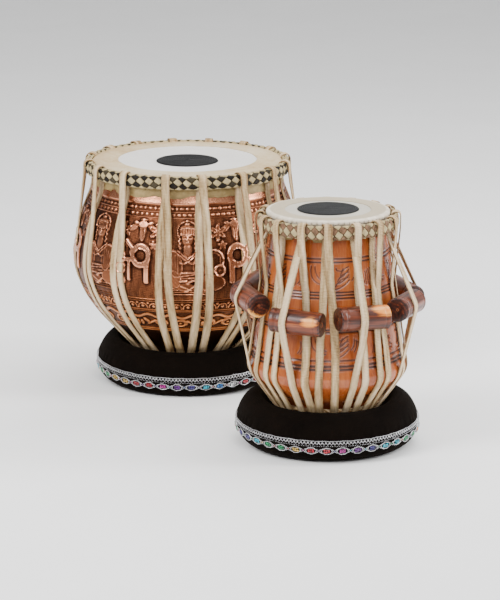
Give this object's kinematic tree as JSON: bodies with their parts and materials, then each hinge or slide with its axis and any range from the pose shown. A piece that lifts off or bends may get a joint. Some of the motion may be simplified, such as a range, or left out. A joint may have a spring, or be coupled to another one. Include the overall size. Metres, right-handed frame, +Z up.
{
  "type": "tabla",
  "caption": "Pair of laced hand drums on padded ring cushions: a wide embossed metal bass drum and a narrow wooden treble drum with tuning blocks wedged under its straps.",
  "frame": {"origin": "on the floor, under the middle of the whole set's box", "axes": "+Z up; +X from the bass drum to the treble drum, which is the player's right; the player sits at -Y"},
  "size_m": [0.61, 0.2878, 0.2829],
  "materials": {
    "copper": "embossed copper, polished on the high parts and dark in the recesses",
    "wood": "orange-brown varnished hardwood with dark turned grooves",
    "rosewood": "dark turned hardwood, waxed",
    "goat_skin": "pale scraped skin, matt",
    "rim_skin": "cream skin, matt",
    "tuning_paste": "black iron and flour paste, dry and faintly ringed",
    "grey_tuning_paste": "dark grey iron and flour paste, dry and faintly ringed",
    "black_braid": "black and cream hide strips, plaited",
    "brown_braid": "brown and cream hide strips, plaited",
    "rawhide": "beige rawhide, twisted and dry",
    "velvet": "near-black velvet over a stuffed ring",
    "silver_lace": "silver metallic braid with small set stones"
  },
  "bodies": {
    "bayan_cushion": {"bayan_cushion": "velvet", "bayan_cushion_trim": "silver_lace"},
    "bayan_drum": {"bayan_shell": "copper", "bayan_under_skin": "goat_skin", "bayan_main_skin": "goat_skin", "bayan_rim_skin": "rim_skin", "bayan_syahi": "tuning_paste", "bayan_hoop": "black_braid", "bayan_kundal": "rawhide", "bayan_lace": "rawhide"},
    "dayan_cushion": {"dayan_cushion": "velvet", "dayan_cushion_trim": "silver_lace"},
    "dayan_drum": {"dayan_shell": "wood", "dayan_under_skin": "goat_skin", "dayan_main_skin": "goat_skin", "dayan_rim_skin": "rim_skin", "dayan_syahi": "grey_tuning_paste", "dayan_hoop": "brown_braid", "dayan_kundal": "rawhide", "dayan_lace": "rawhide"},
    "gatta_1": {"gatta_1": "rosewood"},
    "gatta_2": {"gatta_2": "rosewood"},
    "gatta_3": {"gatta_3": "rosewood"},
    "gatta_4": {"gatta_4": "rosewood"},
    "gatta_5": {"gatta_5": "rosewood"},
    "gatta_6": {"gatta_6": "rosewood"},
    "gatta_7": {"gatta_7": "rosewood"},
    "gatta_8": {"gatta_8": "rosewood"}
  },
  "joints": [
    {"name": "bayan_lift_off", "type": "slide", "parent": "bayan_cushion", "child": "bayan_drum", "axis": [0, 0, 1], "range_m": [0, 0.12]},
    {"name": "dayan_place", "type": "slide", "parent": "bayan_cushion", "child": "dayan_cushion", "axis": [1, 0, 0], "range_m": [-0.04, 0.12]},
    {"name": "dayan_lift_off", "type": "slide", "parent": "dayan_cushion", "child": "dayan_drum", "axis": [0, 0, 1], "range_m": [0, 0.12]},
    {"name": "gatta_1_tune", "type": "slide", "parent": "dayan_drum", "child": "gatta_1", "axis": [0.1392, -0.0139, -0.9902], "range_m": [-0.012, 0.012], "deforming": ["dayan_lace"]},
    {"name": "gatta_2_tune", "type": "slide", "parent": "dayan_drum", "child": "gatta_2", "axis": [0.1083, 0.0886, -0.9902], "range_m": [-0.012, 0.012], "deforming": ["dayan_lace"]},
    {"name": "gatta_3_tune", "type": "slide", "parent": "dayan_drum", "child": "gatta_3", "axis": [0.0139, 0.1392, -0.9902], "range_m": [-0.012, 0.012], "deforming": ["dayan_lace"]},
    {"name": "gatta_4_tune", "type": "slide", "parent": "dayan_drum", "child": "gatta_4", "axis": [-0.0886, 0.1083, -0.9902], "range_m": [-0.012, 0.012], "deforming": ["dayan_lace"]},
    {"name": "gatta_5_tune", "type": "slide", "parent": "dayan_drum", "child": "gatta_5", "axis": [-0.1392, 0.0139, -0.9902], "range_m": [-0.012, 0.012], "deforming": ["dayan_lace"]},
    {"name": "gatta_6_tune", "type": "slide", "parent": "dayan_drum", "child": "gatta_6", "axis": [-0.1083, -0.0886, -0.9902], "range_m": [-0.012, 0.012], "deforming": ["dayan_lace"]},
    {"name": "gatta_7_tune", "type": "slide", "parent": "dayan_drum", "child": "gatta_7", "axis": [-0.0212, -0.1383, -0.9902], "range_m": [-0.012, 0.012], "deforming": ["dayan_lace"]},
    {"name": "gatta_8_tune", "type": "slide", "parent": "dayan_drum", "child": "gatta_8", "axis": [0.0886, -0.1083, -0.9902], "range_m": [-0.012, 0.012], "deforming": ["dayan_lace"]}
  ]
}
